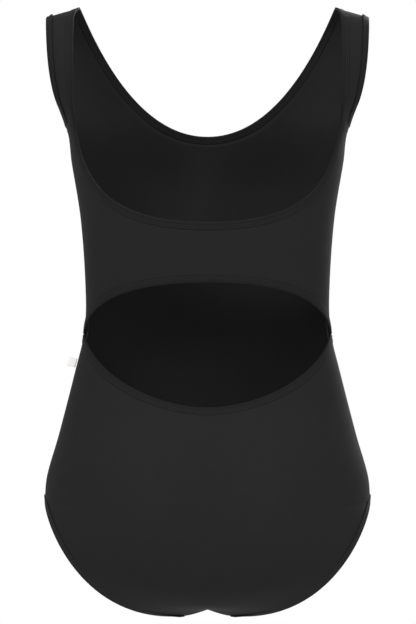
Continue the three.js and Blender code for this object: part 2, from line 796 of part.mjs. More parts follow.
function sideSeam(side) {
  const from = UNDERARM_DROP + 2 * BINDING_WIDTH;
  const to = HIP_DROP - 4 * BINDING_WIDTH;
  return seamOnSide(side, from, to, 14, new THREE.Vector3(side, 0, 0));
}

function shoulderSeam(side) {
  const margin = (SHOULDER_SLOPE_DROP * BINDING_WIDTH) / (STRAP_OUTER_X - STRAP_INNER_X);
  return seamOnSide(side, margin, SHOULDER_SLOPE_DROP - margin, 2, new THREE.Vector3(0, 0, 1));
}

function crotchSeam() {
  const reach = SIDE * CROTCH_SEAM_SHARE;
  const points = [-1, -0.5, 0, 0.5, 1].map((t) => bodyPoint(BACK, reach * t, CROTCH_END));
  return seamTape(points, points.map(() => new THREE.Vector3(0, 0, -1)));
}

// ---------------------------------------------------------------- labels

// The small folded ribbon tab in the wearer's left side seam. It lies along +X from its hinge line.
function sideTab() {
  const half = TAB_THICKNESS / 2;
  const inner = half - TAB_RIBBON;
  const bend = TAB_LENGTH - half;
  const shape = new THREE.Shape()
    .moveTo(0, -half)
    .lineTo(bend, -half)
    .absarc(bend, 0, half, -SIDE, SIDE, false)
    .lineTo(0, half)
    .lineTo(0, inner)
    .lineTo(bend, inner)
    .absarc(bend, 0, inner, SIDE, -SIDE, true)
    .lineTo(0, -inner)
    .closePath();
  const geometry = new THREE.ExtrudeGeometry(shape, {
    depth: TAB_HEIGHT,
    bevelEnabled: false,
    curveSegments: 6,
  });
  return geometry.translate(0, 0, -TAB_HEIGHT / 2);
}

function careLabel() {
  const geometry = new THREE.BoxGeometry(LABEL_LENGTH, LABEL_THICKNESS, LABEL_HEIGHT);
  return geometry.translate(-LABEL_LENGTH / 2, 0, 0);
}

// The side seam's lean from vertical at a drop, as a turn about Y.
function seamLean(drop) {
  return Math.atan2(halfWidth(drop + 4) - halfWidth(drop - 4), 8);
}

// ---------------------------------------------------------------- assembly

const leotard = new THREE.Group();

function add(name, geometry, material) {
  const mesh = new THREE.Mesh(geometry, material);
  mesh.name = name;
  leotard.add(mesh);
  return mesh;
}

const FACE_CLOTH = [-FABRIC / 2, FABRIC / 2];
const LINING_CLOTH = [-FABRIC / 2 - GAP - LINING, -FABRIC / 2 - GAP];
const GUSSET_CLOTH = [SEAM_TAPE_LOW - GAP - LINING, SEAM_TAPE_LOW - GAP];

function addPanel(name, blocks, [low, high], trims, material) {
  add(name, trimmed(thickSheet(blocks, low, high), trims), material);
}

const front = frontBlocks();
addPanel("front_panel", front, FACE_CLOTH, [...openEdgeTrims, ...behindSeams], outerCloth);
addPanel("front_lining", front, LINING_CLOTH, [...openEdgeTrims, ...behindSeams], liningCloth);
const backTrims = [...openEdgeTrims, ...cutoutTrims, ...beforeSeams];
addPanel("upper_back_panel", upperBackBlocks(), FACE_CLOTH, backTrims, outerCloth);
addPanel("seat_panel", seatBlocks(), FACE_CLOTH, backTrims, outerCloth);
addPanel("gusset_lining", gussetBlocks(), GUSSET_CLOTH, openEdgeTrims, liningCloth);

function addBinding(name, frames, closed, trims) {
  add(name + "_binding", trimmed(sweep(frames, bindingSection(), closed), trims), bindingCloth);
  add(name + "_elastic", trimmed(sweep(frames, elasticSection(), closed), trims), elasticRubber);
}

addBinding("neck", neckFrames, true, []);
const [upperClearance, lowerClearance] = [upperCutoutFrames, lowerCutoutFrames].map((frames) =>
  sweep(frames, clearanceSection(), false),
);
addBinding("upper_cutout", upperCutoutFrames, false, [beforeSeams[0]]);
addBinding("lower_cutout", lowerCutoutFrames, false, [beforeSeams[0], upperClearance]);

sides.forEach(([word, side], i) => {
  addBinding(word + "_armhole", armholeFrames[i], true, []);
  addBinding(word + "_leg", legFrames[i], true, []);
  add(word + "_side_seam", trimmed(sideSeam(side), [upperClearance, lowerClearance]), seamThread);
  add(word + "_shoulder_seam", shoulderSeam(side), seamThread);
});
add("crotch_seam", crotchSeam(), seamThread);

// The tab stands on the outside of the left side seam, clear of the cloth when it turns.
const tabStandOff = FABRIC / 2 + TAB_THICKNESS / 2 + GAP;
const tab = add("side_tab", sideTab(), tabRibbon);
tab.rotation.y = -seamLean(TAB_DROP);
tab.position.copy(bodyPoint(BACK, SIDE, TAB_DROP));
tab.translateX(tabStandOff);

const label = add("care_label", careLabel(), labelSatin);
label.rotation.set(0, -seamLean(LABEL_DROP), 0);
label.position.copy(bodyPoint(BACK, SIDE, LABEL_DROP));
label.translateX(SEAM_TAPE_LOW - GAP - LABEL_THICKNESS);
label.rotateZ(THREE.MathUtils.degToRad(-LABEL_TURN));

export default leotard;
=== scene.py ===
# A gymnastics and ballet leotard in its worn shape: cloth panels, folded bindings with rows of
# stitches, elastics, linings and labels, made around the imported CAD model.
# Lengths are in millimetres until a mesh is made, in the CAD model's own frame: +Z up, +Y the wearer's
# back, +X the wearer's left, and the origin midway between the tops of the shoulder straps.

import json
import math

import bpy
import numpy as np
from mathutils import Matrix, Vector


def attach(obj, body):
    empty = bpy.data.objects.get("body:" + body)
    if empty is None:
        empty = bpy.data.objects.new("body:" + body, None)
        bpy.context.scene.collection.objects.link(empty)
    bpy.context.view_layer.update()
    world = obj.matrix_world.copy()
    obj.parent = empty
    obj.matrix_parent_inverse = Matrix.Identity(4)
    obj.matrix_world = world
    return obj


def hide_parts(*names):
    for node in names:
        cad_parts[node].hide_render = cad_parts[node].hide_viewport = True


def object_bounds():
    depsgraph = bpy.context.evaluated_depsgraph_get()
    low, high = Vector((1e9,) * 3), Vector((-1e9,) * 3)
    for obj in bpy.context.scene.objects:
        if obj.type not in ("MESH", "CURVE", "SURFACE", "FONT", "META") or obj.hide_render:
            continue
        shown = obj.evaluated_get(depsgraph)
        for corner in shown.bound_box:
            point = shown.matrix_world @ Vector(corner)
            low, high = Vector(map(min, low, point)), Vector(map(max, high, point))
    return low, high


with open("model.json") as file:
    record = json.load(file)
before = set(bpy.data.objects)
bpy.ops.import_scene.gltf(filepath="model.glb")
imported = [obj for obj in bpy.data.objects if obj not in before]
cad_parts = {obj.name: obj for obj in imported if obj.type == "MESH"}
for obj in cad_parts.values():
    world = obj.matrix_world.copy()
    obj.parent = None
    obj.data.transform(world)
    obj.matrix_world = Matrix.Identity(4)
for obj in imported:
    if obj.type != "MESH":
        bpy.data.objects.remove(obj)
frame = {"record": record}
cad_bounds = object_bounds()
MM = 0.001
BACK, FRONT = 1, -1
SIDE = math.pi / 2

# ---------------------------------------------------------------- sizes shared with the CAD model

STRAP_INNER_X, STRAP_OUTER_X, SHOULDER_SLOPE_DROP = 131, 166, 11
UNDERARM_DROP, UNDERARM_HALF_WIDTH = 120, 146.5
CUTOUT_CORNER_DROP = 336
HIP_DROP, HIP_HALF_WIDTH = 508, 167.4
YOKE_DROP = 236
NECK_FRONT_DROP, NECK_BACK_DROP = 129, 222
CUTOUT_TOP_DROP, CUTOUT_BOTTOM_DROP = 283.5, 409.5
CROTCH_DROP, CROTCH_Y, CROTCH_HALF_WIDTH, CROTCH_RUN = 619, 4, 31, 150
CLEFT_HEIGHT = 7
CROTCH_END = HIP_DROP + CROTCH_RUN
FABRIC, LINING, GAP = 0.8, 0.5, 0.35
BINDING_WIDTH, BINDING_CLOTH = 8, 0.5
ELASTIC_WIDTH, ELASTIC_THICKNESS = 5.5, 0.6
SEAM_TAPE_WIDTH, SEAM_TAPE_THICKNESS, SEAM_TAPE_SINK = 4, 0.9, 1.25
TAB_LENGTH, TAB_HEIGHT, TAB_RIBBON, TAB_THICKNESS = 10.5, 9.4, 0.35, 1.2
LABEL_LENGTH, LABEL_HEIGHT, LABEL_THICKNESS, LABEL_TURN = 28, 40, 0.4, math.radians(24)
FRONT_CUT, UPPER_BACK_CUT = (420, 670), (400, 345)  # the flat cloth that each panel was cut from
SEAT_CUT, GUSSET_CUT = (440, 340), (135, 115)
PANEL_TUCK = 2.2  # how far inside a folded binding the panel's edge lies

FINE = 1.0


def count(n):
    return max(2, round(n * FINE))


# ---------------------------------------------------------------- the body surface


def smooth_through(pairs):
    """A smooth function through a few (place, value) pairs."""
    at, value = np.array(pairs, float).T
    low, high = np.arange(len(at)) - 1, np.arange(len(at)) + 1
    low, high = low.clip(0), high.clip(None, len(at) - 1)
    slope = (value[high] - value[low]) / (at[high] - at[low])

    def curve(place):
        place = np.asarray(place, float)
        i = np.clip(np.searchsorted(at, place, side="left") - 1, 0, len(at) - 2)
        span = at[i + 1] - at[i]
        t = np.clip((place - at[i]) / span, 0, 1)
        rise = value[i + 1] - value[i]
        a = slope[i] * span - rise
        b = rise - slope[i + 1] * span
        return value[i] + rise * t + t * (1 - t) * (a * (1 - t) + b * t)

    return curve


half_width = smooth_through(
    [
        (0, STRAP_INNER_X), (SHOULDER_SLOPE_DROP, STRAP_OUTER_X), (30, 180), (60, 184), (92, 170),
        (UNDERARM_DROP, UNDERARM_HALF_WIDTH), (160, 139.5), (220, 130), (300, 125),
        (CUTOUT_CORNER_DROP, 127), (372, 135.5), (440, 153), (482, 165), (HIP_DROP, HIP_HALF_WIDTH),
    ]
)
back_depth = smooth_through(
    [(0, 36), (30, 68), (60, 84), (130, 97), (222, 89), (310, 73), (400, 80), (460, 94), (HIP_DROP, 97)]
)
front_depth = smooth_through(
    [
        (0, 34), (30, 60), (60, 70), (130, 86), (180, 93),
        (236, 86), (310, 78), (400, 88), (460, 90), (HIP_DROP, 88),
    ]
)
seat_y = smooth_through([(0, 97), (0.25, 96), (0.5, 84), (0.75, 50), (1, CROTCH_Y)])
front_y = smooth_through([(0, -88), (0.25, -84), (0.5, -71), (0.75, -42), (1, CROTCH_Y)])
low_drop = smooth_through([(0, HIP_DROP), (0.25, 548), (0.5, 588), (0.75, 612.3), (1, CROTCH_DROP)])


def bezier(points, t):
    p = np.array(points, float)
    t = np.asarray(t, float)[..., None]
    s = 1 - t
    return s**3 * p[0] + 3 * s * s * t * p[1] + 3 * s * t * t * p[2] + t**3 * p[3]


LEG_LOW_DROP = CROTCH_DROP + CLEFT_HEIGHT
LEG_LINES = {  # each leg opening's edge from the hip to the crotch seam, as (x, y, drop)
    BACK: [
        (HIP_HALF_WIDTH, 0, HIP_DROP), (HIP_HALF_WIDTH - 1.4, 75, HIP_DROP + 15),
        (CROTCH_HALF_WIDTH + 100, 80, LEG_LOW_DROP), (CROTCH_HALF_WIDTH, CROTCH_Y, LEG_LOW_DROP),
    ],
    FRONT: [
        (HIP_HALF_WIDTH, 0, HIP_DROP), (HIP_HALF_WIDTH, -60, HIP_DROP + 4),
        (CROTCH_HALF_WIDTH + 19, -85, LEG_LOW_DROP - 32), (CROTCH_HALF_WIDTH, CROTCH_Y, LEG_LOW_DROP),
    ],
}


def hill(x, drop, centre_x, centre_drop, spread_x, spread_drop):
    across = (np.abs(x) - centre_x) / spread_x
    down = (drop - centre_drop) / spread_drop
    return np.exp(-(across**2 + down**2) / 2)


BOXINESS = 0.15


def fullness(angle):
    return np.cos(angle) * (1 + BOXINESS * np.sin(angle) ** 2)


def body_point(face, phi, run):
    """Points on the body surface, as an array of x, y, z in millimetres."""
    phi, run = np.broadcast_arrays(np.asarray(phi, float), np.asarray(run, float))
    share = np.maximum(0, run - HIP_DROP) / CROTCH_RUN
    depth = (back_depth if face == BACK else front_depth)(run)
    upper = half_width(run) * np.sin(phi), face * depth * fullness(phi), run
    edge_x, edge_y, edge_drop = np.moveaxis(bezier(LEG_LINES[face], share), -1, 0)
    centre_y = (seat_y if face == BACK else front_y)(share)
    centre_drop = low_drop(share)
    reach = np.arcsin(np.minimum(edge_x / HIP_HALF_WIDTH, 1))
    turn = reach * phi / SIDE
    outward = (1 - fullness(turn)) / (1 - fullness(reach))
    cleft = outward + (np.abs(np.sin(phi)) - outward) * share**4
    lower = (
        edge_x * np.sin(turn) / np.sin(reach),
        centre_y + (edge_y - centre_y) * outward,
        centre_drop + (edge_drop - centre_drop) * cleft,
    )
    x, y, drop = (np.where(share > 0, b, a) for a, b in zip(upper, lower))
    inside = np.cos(phi) * (1 - share**2)
    if face == BACK:
        seat = 19 * hill(x, drop, 70, 522, 44, 55) * inside
        y = y + seat * np.cos(1.1 * share)
        drop = drop + seat * np.sin(1.1 * share)
    else:
        y = y - 16 * hill(x, drop, 66, 182, 36, 36) * inside
    return np.stack([x, y, -drop], axis=-1)


def unit(v):
    return v / np.maximum(np.linalg.norm(v, axis=-1, keepdims=True), 1e-9)


def surface_steps(face, phi, run):
    """The surface's slopes by phi and by run, from small steps that stay on the face."""
    phi, run = np.asarray(phi, float), np.asarray(run, float)
    step = np.where(phi > 0, -1e-3, 1e-3)
    drop_step = np.where((run > HIP_DROP) | (run < 1), 0.2, -0.2)
    here = body_point(face, phi, run)
    by_phi = (body_point(face, phi + step, run) - here) / step[..., None]
    by_run = (body_point(face, phi, run + drop_step) - here) / drop_step[..., None]
    return here, by_phi, by_run


# ---------------------------------------------------------------- edge lines on the body


def path(*parts, steps=160):
    """Points along straight (2-point) and curved (4-point) parts, as (half-width, drop)."""
    t = np.linspace(0, 1, steps)
    found = []
    for part in parts:
        p = np.array(part, float)
        found.append(bezier(p, t) if len(p) == 4 else p[0] + (p[1] - p[0]) * t[:, None])
    return np.concatenate(found)


def on_body(outline):
    """A drawn outline as (phi, run) rows."""
    sine = np.clip(outline[:, 0] / half_width(outline[:, 1]), -1, 1)
    return np.stack([np.arcsin(sine), outline[:, 1]], axis=1)


def distances(face, line):
    steps = np.diff(body_point(face, line[:, 0], line[:, 1]), axis=0)
    return np.concatenate([[0], np.cumsum(np.linalg.norm(steps, axis=1))])


def along(face, line, shares):
    length = distances(face, line)
    at = np.asarray(shares) * length[-1]
    return np.stack([np.interp(at, length, line[:, 0]), np.interp(at, length, line[:, 1])], axis=1)


def evenly(face, line, n):
    return along(face, line, np.linspace(0, 1, n + 1))


STRAIGHT_X = STRAP_INNER_X + 6
back_neck = on_body(
    path(
        [(STRAP_INNER_X, 0), (STRAP_INNER_X + 4, 3), (STRAIGHT_X, 9), (STRAIGHT_X, 18)],
        [(STRAIGHT_X, 18), (STRAIGHT_X, 105)],
        [(STRAIGHT_X, 105), (STRAIGHT_X - 5, 195), (85, NECK_BACK_DROP), (0, NECK_BACK_DROP)],
    )
)
front_neck = on_body(path([(STRAP_INNER_X, 0), (112, 45), (70, NECK_FRONT_DROP), (0, NECK_FRONT_DROP)]))
back_armhole = on_body(
    path(
        [(STRAP_OUTER_X, SHOULDER_SLOPE_DROP), (164.5, 45), (162, 78), (154, 99)],
        [(154, 99), (150, 109), (147.5, 115), (UNDERARM_HALF_WIDTH, UNDERARM_DROP)],
    )
)
front_armhole = on_body(
    path(
        [(STRAP_OUTER_X, SHOULDER_SLOPE_DROP), (160, 40), (149, 66), (147.5, 94)],
        [(147.5, 94), (147, 106), (147, 114), (UNDERARM_HALF_WIDTH, UNDERARM_DROP)],
    )
)
CORNER = (float(half_width(CUTOUT_CORNER_DROP)), CUTOUT_CORNER_DROP)
cutout_top = on_body(path([(0, CUTOUT_TOP_DROP), (60, CUTOUT_TOP_DROP), (120, 293), CORNER]))
cutout_bottom = on_body(path([(0, CUTOUT_BOTTOM_DROP), (50, CUTOUT_BOTTOM_DROP), (113, 380), CORNER]))
leg_line = np.stack([np.full(400, SIDE), np.linspace(HIP_DROP, CROTCH_END, 400)], axis=1)


def smoothed(rows, passes, closed):
    for _ in range(passes):
        if closed:
            before, after = np.roll(rows, 1, 0), np.roll(rows, -1, 0)
        else:
            before, after = np.vstack([rows[:1], rows[:-1]]), np.vstack([rows[1:], rows[-1:]])
        rows = (before + 2 * rows + after) / 4
    return rows


SPACING = 2.5 / FINE  # between the rings of a binding
NORMAL_SPREAD = 14  # how far along an edge its normal is smoothed


def edge_frames(parts, closed, hint):
    """Places, cloth normals and into-the-cloth directions along an edge made of (face, line) parts."""
    here, normal = [], []
    for face, line in parts:
        p, by_phi, by_run = surface_steps(face, line[:, 0], line[:, 1])
        here.append(p)
        normal.append(unit(np.cross(by_phi, by_run) * face))
    here, normal = np.concatenate(here), np.concatenate(normal)
    passes = round(2 * (NORMAL_SPREAD / SPACING) ** 2)
    normal = unit(smoothed(normal, passes, closed))
    if closed:
        tangent = unit(np.roll(here, -1, 0) - np.roll(here, 1, 0))
    else:
        tangent = unit(np.gradient(here, axis=0))
    normal = unit(normal - (normal * tangent).sum(1, keepdims=True) * tangent)
    inward = np.cross(normal, tangent)
    if (inward * hint(here)).sum() < 0:
        inward = -inward
    return {"here": here, "normal": normal, "inward": inward, "tangent": tangent, "closed": closed}


def away(x, y, z):
    return lambda p: p - np.array([x, y, z], float)


def towards(x, y, z):
    return lambda p: np.broadcast_to(np.array([x, y, z], float), p.shape)


def edge_count(face, line):
    return round(distances(face, line)[-1] / SPACING)


def mirror(line):
    return line * [-1, 1]


def loop(behind, before, both_sides):
    """A closed edge round the back and then the front; both_sides also goes across the centre lines."""
    b = evenly(BACK, behind, edge_count(BACK, behind))
    f = evenly(FRONT, before, edge_count(FRONT, before))
    if not both_sides:
        return [(BACK, b), (FRONT, f[::-1][1:-1])]
    return [
        (BACK, b), (BACK, mirror(b)[::-1][1:]), (FRONT, mirror(f)[1:]), (FRONT, f[::-1][1:-1]),
    ]


def flip(parts):
    return [(face, mirror(line)) for face, line in parts]


def across_back(line):
    half = evenly(BACK, line, edge_count(BACK, line))
    return [(BACK, mirror(half)[::-1]), (BACK, half[1:])]


armhole_parts = loop(back_armhole, front_armhole, False)
leg_parts = loop(leg_line, leg_line, False)
edges = {
    "neck": edge_frames(loop(back_neck, front_neck, True), True, away(0, 0, -40)),
    "upper_cutout": edge_frames(across_back(cutout_top), False, towards(0, 0, 1)),
    "lower_cutout": edge_frames(across_back(cutout_bottom), False, towards(0, 0, -1)),
    "left_armhole": edge_frames(armhole_parts, True, away(230, 0, -62)),
    "right_armhole": edge_frames(flip(armhole_parts), True, away(-230, 0, -62)),
    "left_leg": edge_frames(leg_parts, True, away(95, 0, -640)),
    "right_leg": edge_frames(flip(leg_parts), True, away(-95, 0, -640)),
}

# ---------------------------------------------------------------- meshes


def turned_inside_out(verts, faces):
    """Whether a closed mesh's faces look inwards, from the sign of its volume."""
    fans = ((f[0], f[k], f[k + 1]) for f in faces for k in range(1, len(f) - 1))
    return sum(np.dot(verts[a], np.cross(verts[b], verts[c])) for a, b, c in fans) < 0


def new_object(name, verts, faces, material, uvs=None):
    mesh = bpy.data.meshes.new(name)
    mesh.from_pydata((np.asarray(verts) * MM).tolist(), [], faces)
    if uvs is not None:
        layer = mesh.uv_layers.new(name="UVMap")
        layer.data.foreach_set("uv", np.asarray(uvs, float).ravel())
    mesh.shade_smooth()
    mesh.materials.append(material)
    obj = bpy.data.objects.new(name, mesh)
    bpy.context.collection.objects.link(obj)
    return obj


def grid_uv(rows):
    """Lengths across and down a grid of points, in millimetres, for the cloth's weave."""
    down = np.concatenate([[0], np.cumsum(np.linalg.norm(np.diff(rows, axis=0), axis=2).mean(1))])
    steps = np.linalg.norm(np.diff(rows, axis=1), axis=2)
    over = np.concatenate([np.zeros((len(rows), 1)), np.cumsum(steps, axis=1)], axis=1)
    over -= over.mean(1, keepdims=True)
    return np.stack([over, np.broadcast_to(down[:, None], over.shape)], axis=-1)


def thick_sheet(name, blocks, inner, outer, material, groove=0):
    """A closed solid between two offsets of a sheet made of grid blocks that share their borders."""
    index, points, quads, uvs = {}, [], [], []
    for rows in blocks:
        uv = grid_uv(rows)
        keys = np.round(rows * 50).astype(int)
        ids = np.empty(rows.shape[:2], int)
        for i, j in np.ndindex(*ids.shape):
            key = tuple(keys[i, j])
            if key not in index:
                index[key] = len(points)
                points.append(rows[i, j])
            ids[i, j] = index[key]
        for i in range(len(rows) - 1):
            for j in range(rows.shape[1] - 1):
                corners = [(i, j), (i, j + 1), (i + 1, j + 1), (i + 1, j)]
                quad = [(ids[c], uv[c]) for c in corners]
                kept = [q for k, q in enumerate(quad) if q[0] != quad[(k + 1) % 4][0]]
                if len(kept) > 2:
                    quads.append([int(q[0]) for q in kept])
                    uvs.append([q[1] for q in kept])
    points = np.array(points)
    normal = np.zeros_like(points)
    borders = {}
    for quad in quads:
        a, b, c = points[quad[0]], points[quad[1]], points[quad[2]]
        d = points[quad[-1]]
        face = np.cross(b - a, c - a) + (np.cross(c - a, d - a) if len(quad) == 4 else 0)
        normal[quad] += face
        for k, v in enumerate(quad):
            w = quad[(k + 1) % len(quad)]
            if (w, v) in borders:
                del borders[w, v]
            else:
                borders[v, w] = True
    normal = unit(normal)
    outward = (normal * (points - [0, 0, -300])).sum()
    if outward < 0:
        normal = -normal
    if groove:
        near = np.exp(-((points[:, 1] / 1.3) ** 2)) * (points[:, 2] > -HIP_DROP)
        points = points - normal * (groove * near)[:, None]
    n = len(points)
    verts = np.concatenate([points + normal * inner, points + normal * outer])
    turn = (lambda q: q) if outward >= 0 else (lambda q: q[::-1])
    back = (lambda q: q[::-1]) if outward >= 0 else (lambda q: q)
    faces = [turn([v + n for v in q]) for q in quads] + [back(q) for q in quads]
    flat_uvs = [u for q in uvs for u in turn(q)] + [u for q in uvs for u in back(q)]
    for v, w in borders:
        faces.append(turn([w + n, v + n, v, w]))
        flat_uvs += [(0, 0)] * 4
    return new_object(name, verts, faces, material, flat_uvs)


def sweep(name, edge, section, material, stretch=None):
    """A closed section, rows of (into the cloth, along its normal), swept along an edge."""
    section = np.asarray(section, float)
    here, normal, inward = edge["here"], edge["normal"], edge["inward"]
    rings = (
        here[:, None]
        + inward[:, None] * section[None, :, :1]
        + normal[:, None] * section[None, :, 1:]
    )
    if stretch is not None:
        rings += stretch
    n, m = rings.shape[:2]
    length = np.concatenate([[0], np.cumsum(np.linalg.norm(np.diff(here, axis=0), axis=1))])
    around = np.concatenate([[0], np.cumsum(np.linalg.norm(np.diff(section, axis=0), axis=1))])
    faces, uvs = [], []
    for i in range(n if edge["closed"] else n - 1):
        k = (i + 1) % n
        to = length[i + 1] if i + 1 < n else length[-1] + SPACING
        for j in range(m):
            l = (j + 1) % m
            top = around[l] if l else around[-1] + 1
            faces.append([i * m + j, k * m + j, k * m + l, i * m + l])
            uvs += [(length[i], around[j]), (to, around[j]), (to, top), (length[i], top)]
    if not edge["closed"]:
        faces += [list(range(m)), [(n - 1) * m + j for j in reversed(range(m))]]
        uvs += [(0, 0)] * (2 * m)
    verts = rings.reshape(-1, 3)
    if turned_inside_out(verts, faces):
        turned, at = [], 0
        for f in faces:
            turned += uvs[at : at + len(f)][::-1]
            at += len(f)
        faces, uvs = [f[::-1] for f in faces], turned
    return new_object(name, verts, faces, material, uvs)


# ---------------------------------------------------------------- materials


def node(tree, kind, **values):
    made = tree.nodes.new(kind)
    for key, value in values.items():
        if key in made.inputs:
            made.inputs[key].default_value = value
        else:
            setattr(made, key, value)
    return made


def knit(name, colour, rough, sheen, rib=0.5, relief=0.05, specular=0.06):
    """A stretch jersey: fine ribs one way, courses the other, and a slightly uneven black dye."""
    material = bpy.data.materials.new(name)
    material.use_nodes = True
    tree = material.node_tree
    shader = tree.nodes["Principled BSDF"]
    shader.inputs["Roughness"].default_value = rough
    shader.inputs["Specular IOR Level"].default_value = specular
    shader.inputs["Sheen Weight"].default_value = sheen
    shader.inputs["Sheen Roughness"].default_value = 0.45
    coords = node(tree, "ShaderNodeTexCoord")
    link = tree.links.new
    waves = []
    for direction, period in (("X", rib), ("Y", rib * 0.8)):
        wave = node(tree, "ShaderNodeTexWave", bands_direction=direction, wave_profile="SIN")
        wave.inputs["Scale"].default_value = math.pi / 10 / period
        wave.inputs["Distortion"].default_value = 0.6
        wave.inputs["Detail"].default_value = 1
        link(coords.outputs["UV"], wave.inputs["Vector"])
        waves.append(wave)
    weave = node(tree, "ShaderNodeMix", data_type="FLOAT", Factor=0.4)
    link(waves[0].outputs["Fac"], weave.inputs[2])
    link(waves[1].outputs["Fac"], weave.inputs[3])
    mottle = node(tree, "ShaderNodeTexNoise", Scale=90.0, Detail=5.0, Roughness=0.6)
    link(coords.outputs["Object"], mottle.inputs["Vector"])
    tone = node(tree, "ShaderNodeMapRange")
    tone.inputs["From Min"].default_value = 0.2
    tone.inputs["From Max"].default_value = 0.8
    tone.inputs["To Min"].default_value = 0.94
    tone.inputs["To Max"].default_value = 1.06
    link(mottle.outputs["Fac"], tone.inputs["Value"])
    rib_tone = node(tree, "ShaderNodeMapRange")
    rib_tone.inputs["To Min"].default_value = 0.82
    rib_tone.inputs["To Max"].default_value = 1.1
    link(weave.outputs[0], rib_tone.inputs["Value"])
    both = node(tree, "ShaderNodeMath", operation="MULTIPLY")
    link(tone.outputs["Result"], both.inputs[0])
    link(rib_tone.outputs["Result"], both.inputs[1])
    dye = node(tree, "ShaderNodeVectorMath", operation="SCALE")
    dye.inputs[0].default_value = colour
    link(both.outputs[0], dye.inputs["Scale"])
    link(dye.outputs["Vector"], shader.inputs["Base Color"])
    bump = node(tree, "ShaderNodeBump", Strength=0.5, Distance=relief * MM)
    link(weave.outputs[0], bump.inputs["Height"])
    soft = node(tree, "ShaderNodeBump", Strength=0.2, Distance=0.15 * MM)
    link(mottle.outputs["Fac"], soft.inputs["Height"])
    link(bump.outputs["Normal"], soft.inputs["Normal"])
    link(soft.outputs["Normal"], shader.inputs["Normal"])
    return material


jersey = knit("outer_jersey", (0.0092, 0.0091, 0.0093), 0.8, 0.0)
binding_jersey = knit("binding_jersey", (0.0066, 0.0066, 0.0067), 0.75, 0.0, rib=0.45)
lining_mesh = knit("lining_mesh", (0.0095, 0.0094, 0.0096), 0.85, 0.0, rib=0.8)
elastic = knit("elastic_tape", (0.022, 0.021, 0.02), 0.8, 0.0, rib=0.9, relief=0.12)
thread = knit("seam_thread", (0.022, 0.022, 0.023), 0.6, 0.0, rib=0.3)
ribbon = knit("tab_ribbon", (0.7, 0.69, 0.68), 0.55, 0.1, rib=0.4, specular=0.4)
satin = knit("label_satin", (0.74, 0.73, 0.7), 0.35, 0.15, rib=0.25, specular=0.5)

# ---------------------------------------------------------------- panels


def inset(face, line, distance, hint):
    """An edge line moved into the cloth. Its ends stay on the seam or centre line they lie on."""
    edge = edge_frames([(face, line)], False, hint)
    phi, run = line[:, 0].copy(), line[:, 1].copy()
    pinned = (np.abs(np.abs(line[:, 0]) - SIDE) < 1e-6) & (line[:, 1] <= HIP_DROP)
    pinned |= np.abs(line[:, 0]) < 1e-6
    for _ in range(3):
        _, by_phi, by_run = surface_steps(face, phi, run)
        move = edge["inward"] * distance / 3
        uu, uv, vv = ((a * b).sum(1) for a, b in ((by_phi, by_phi), (by_phi, by_run), (by_run, by_run)))
        mu, mv = (move * by_phi).sum(1), (move * by_run).sum(1)
        scale = uu * vv - uv * uv
        phi = phi + np.where(pinned, 0, (mu * vv - mv * uv) / scale)
        run = run + np.where(pinned, mv / vv, (mv * uu - mu * uv) / scale)
    return np.stack([phi.clip(-SIDE, SIDE), run], axis=1)


def tucked(face, line, hint, tuck):
    return inset(face, evenly(face, line, 240), tuck, hint)


def both_sides(half):
    """A grid whose first column is the centre line, with its mirror image joined on."""
    other = half[:, :0:-1] * [-1, 1, 1]
    return np.concatenate([other, half], axis=1)


def strip(face, outer, inner, across):
    """A grid from an outer to an inner line, over both halves of the body."""
    t = np.linspace(0, 1, across + 1)[:, None, None]
    lines = outer[None] + (inner - outer)[None] * t
    return both_sides(body_point(face, lines[..., 0], lines[..., 1]))


def side_line(start, end, n):
    return np.stack([np.full(n + 1, SIDE), np.linspace(start, end, n + 1)], axis=1)


def parts_of(face, line, shares, counts):
    at = [0.0]
    for (a, b), n in zip(zip([0, *shares], shares), counts):
        at += list(np.linspace(a, b, n + 1)[1:])
    return along(face, line, at)


def upper_back_grids(tuck):
    a, b, c = count(46), count(34), count(40)
    neck = tucked(BACK, back_neck, away(0, 0, -40), tuck)[::-1]
    cutout = evenly(BACK, tucked(BACK, cutout_top, towards(0, 0, 1), tuck), a)
    armhole = evenly(BACK, tucked(BACK, back_armhole, away(230, 0, -62), tuck)[::-1], c)
    side = side_line(cutout[-1, 1], armhole[0, 1], b)
    outer = np.concatenate([cutout, side[1:-1], armhole])
    return [strip(BACK, outer, parts_of(BACK, neck, [0.34, 0.56, 1], [a, b, c]), count(26))]


def outer_border(face, tuck):
    """How far round each row the cloth reaches, which is up to a distance from the leg opening."""
    edge = body_point(face, SIDE, np.linspace(HIP_DROP, CROTCH_END, 300))
    runs = np.linspace(HIP_DROP - 2 * BINDING_WIDTH, CROTCH_END, 160)
    turns = SIDE - np.linspace(0, 0.7, 140)
    found = []
    for run in runs:
        row = body_point(face, turns, run)
        gap = np.linalg.norm(row[:, None] - edge[None], axis=2).min(1)
        far = int(np.argmax(gap >= tuck))
        share = (tuck - gap[far - 1]) / (gap[far] - gap[far - 1]) if far else 0
        found.append(turns[far] if not far else turns[far - 1] + (turns[far] - turns[far - 1]) * share)
    return lambda run: np.interp(run, runs, found)


def row_runs(start):
    side = np.linspace(start, HIP_DROP - 6, count(56))
    return np.concatenate([side[:-1], np.linspace(HIP_DROP - 6, CROTCH_END, count(74))])


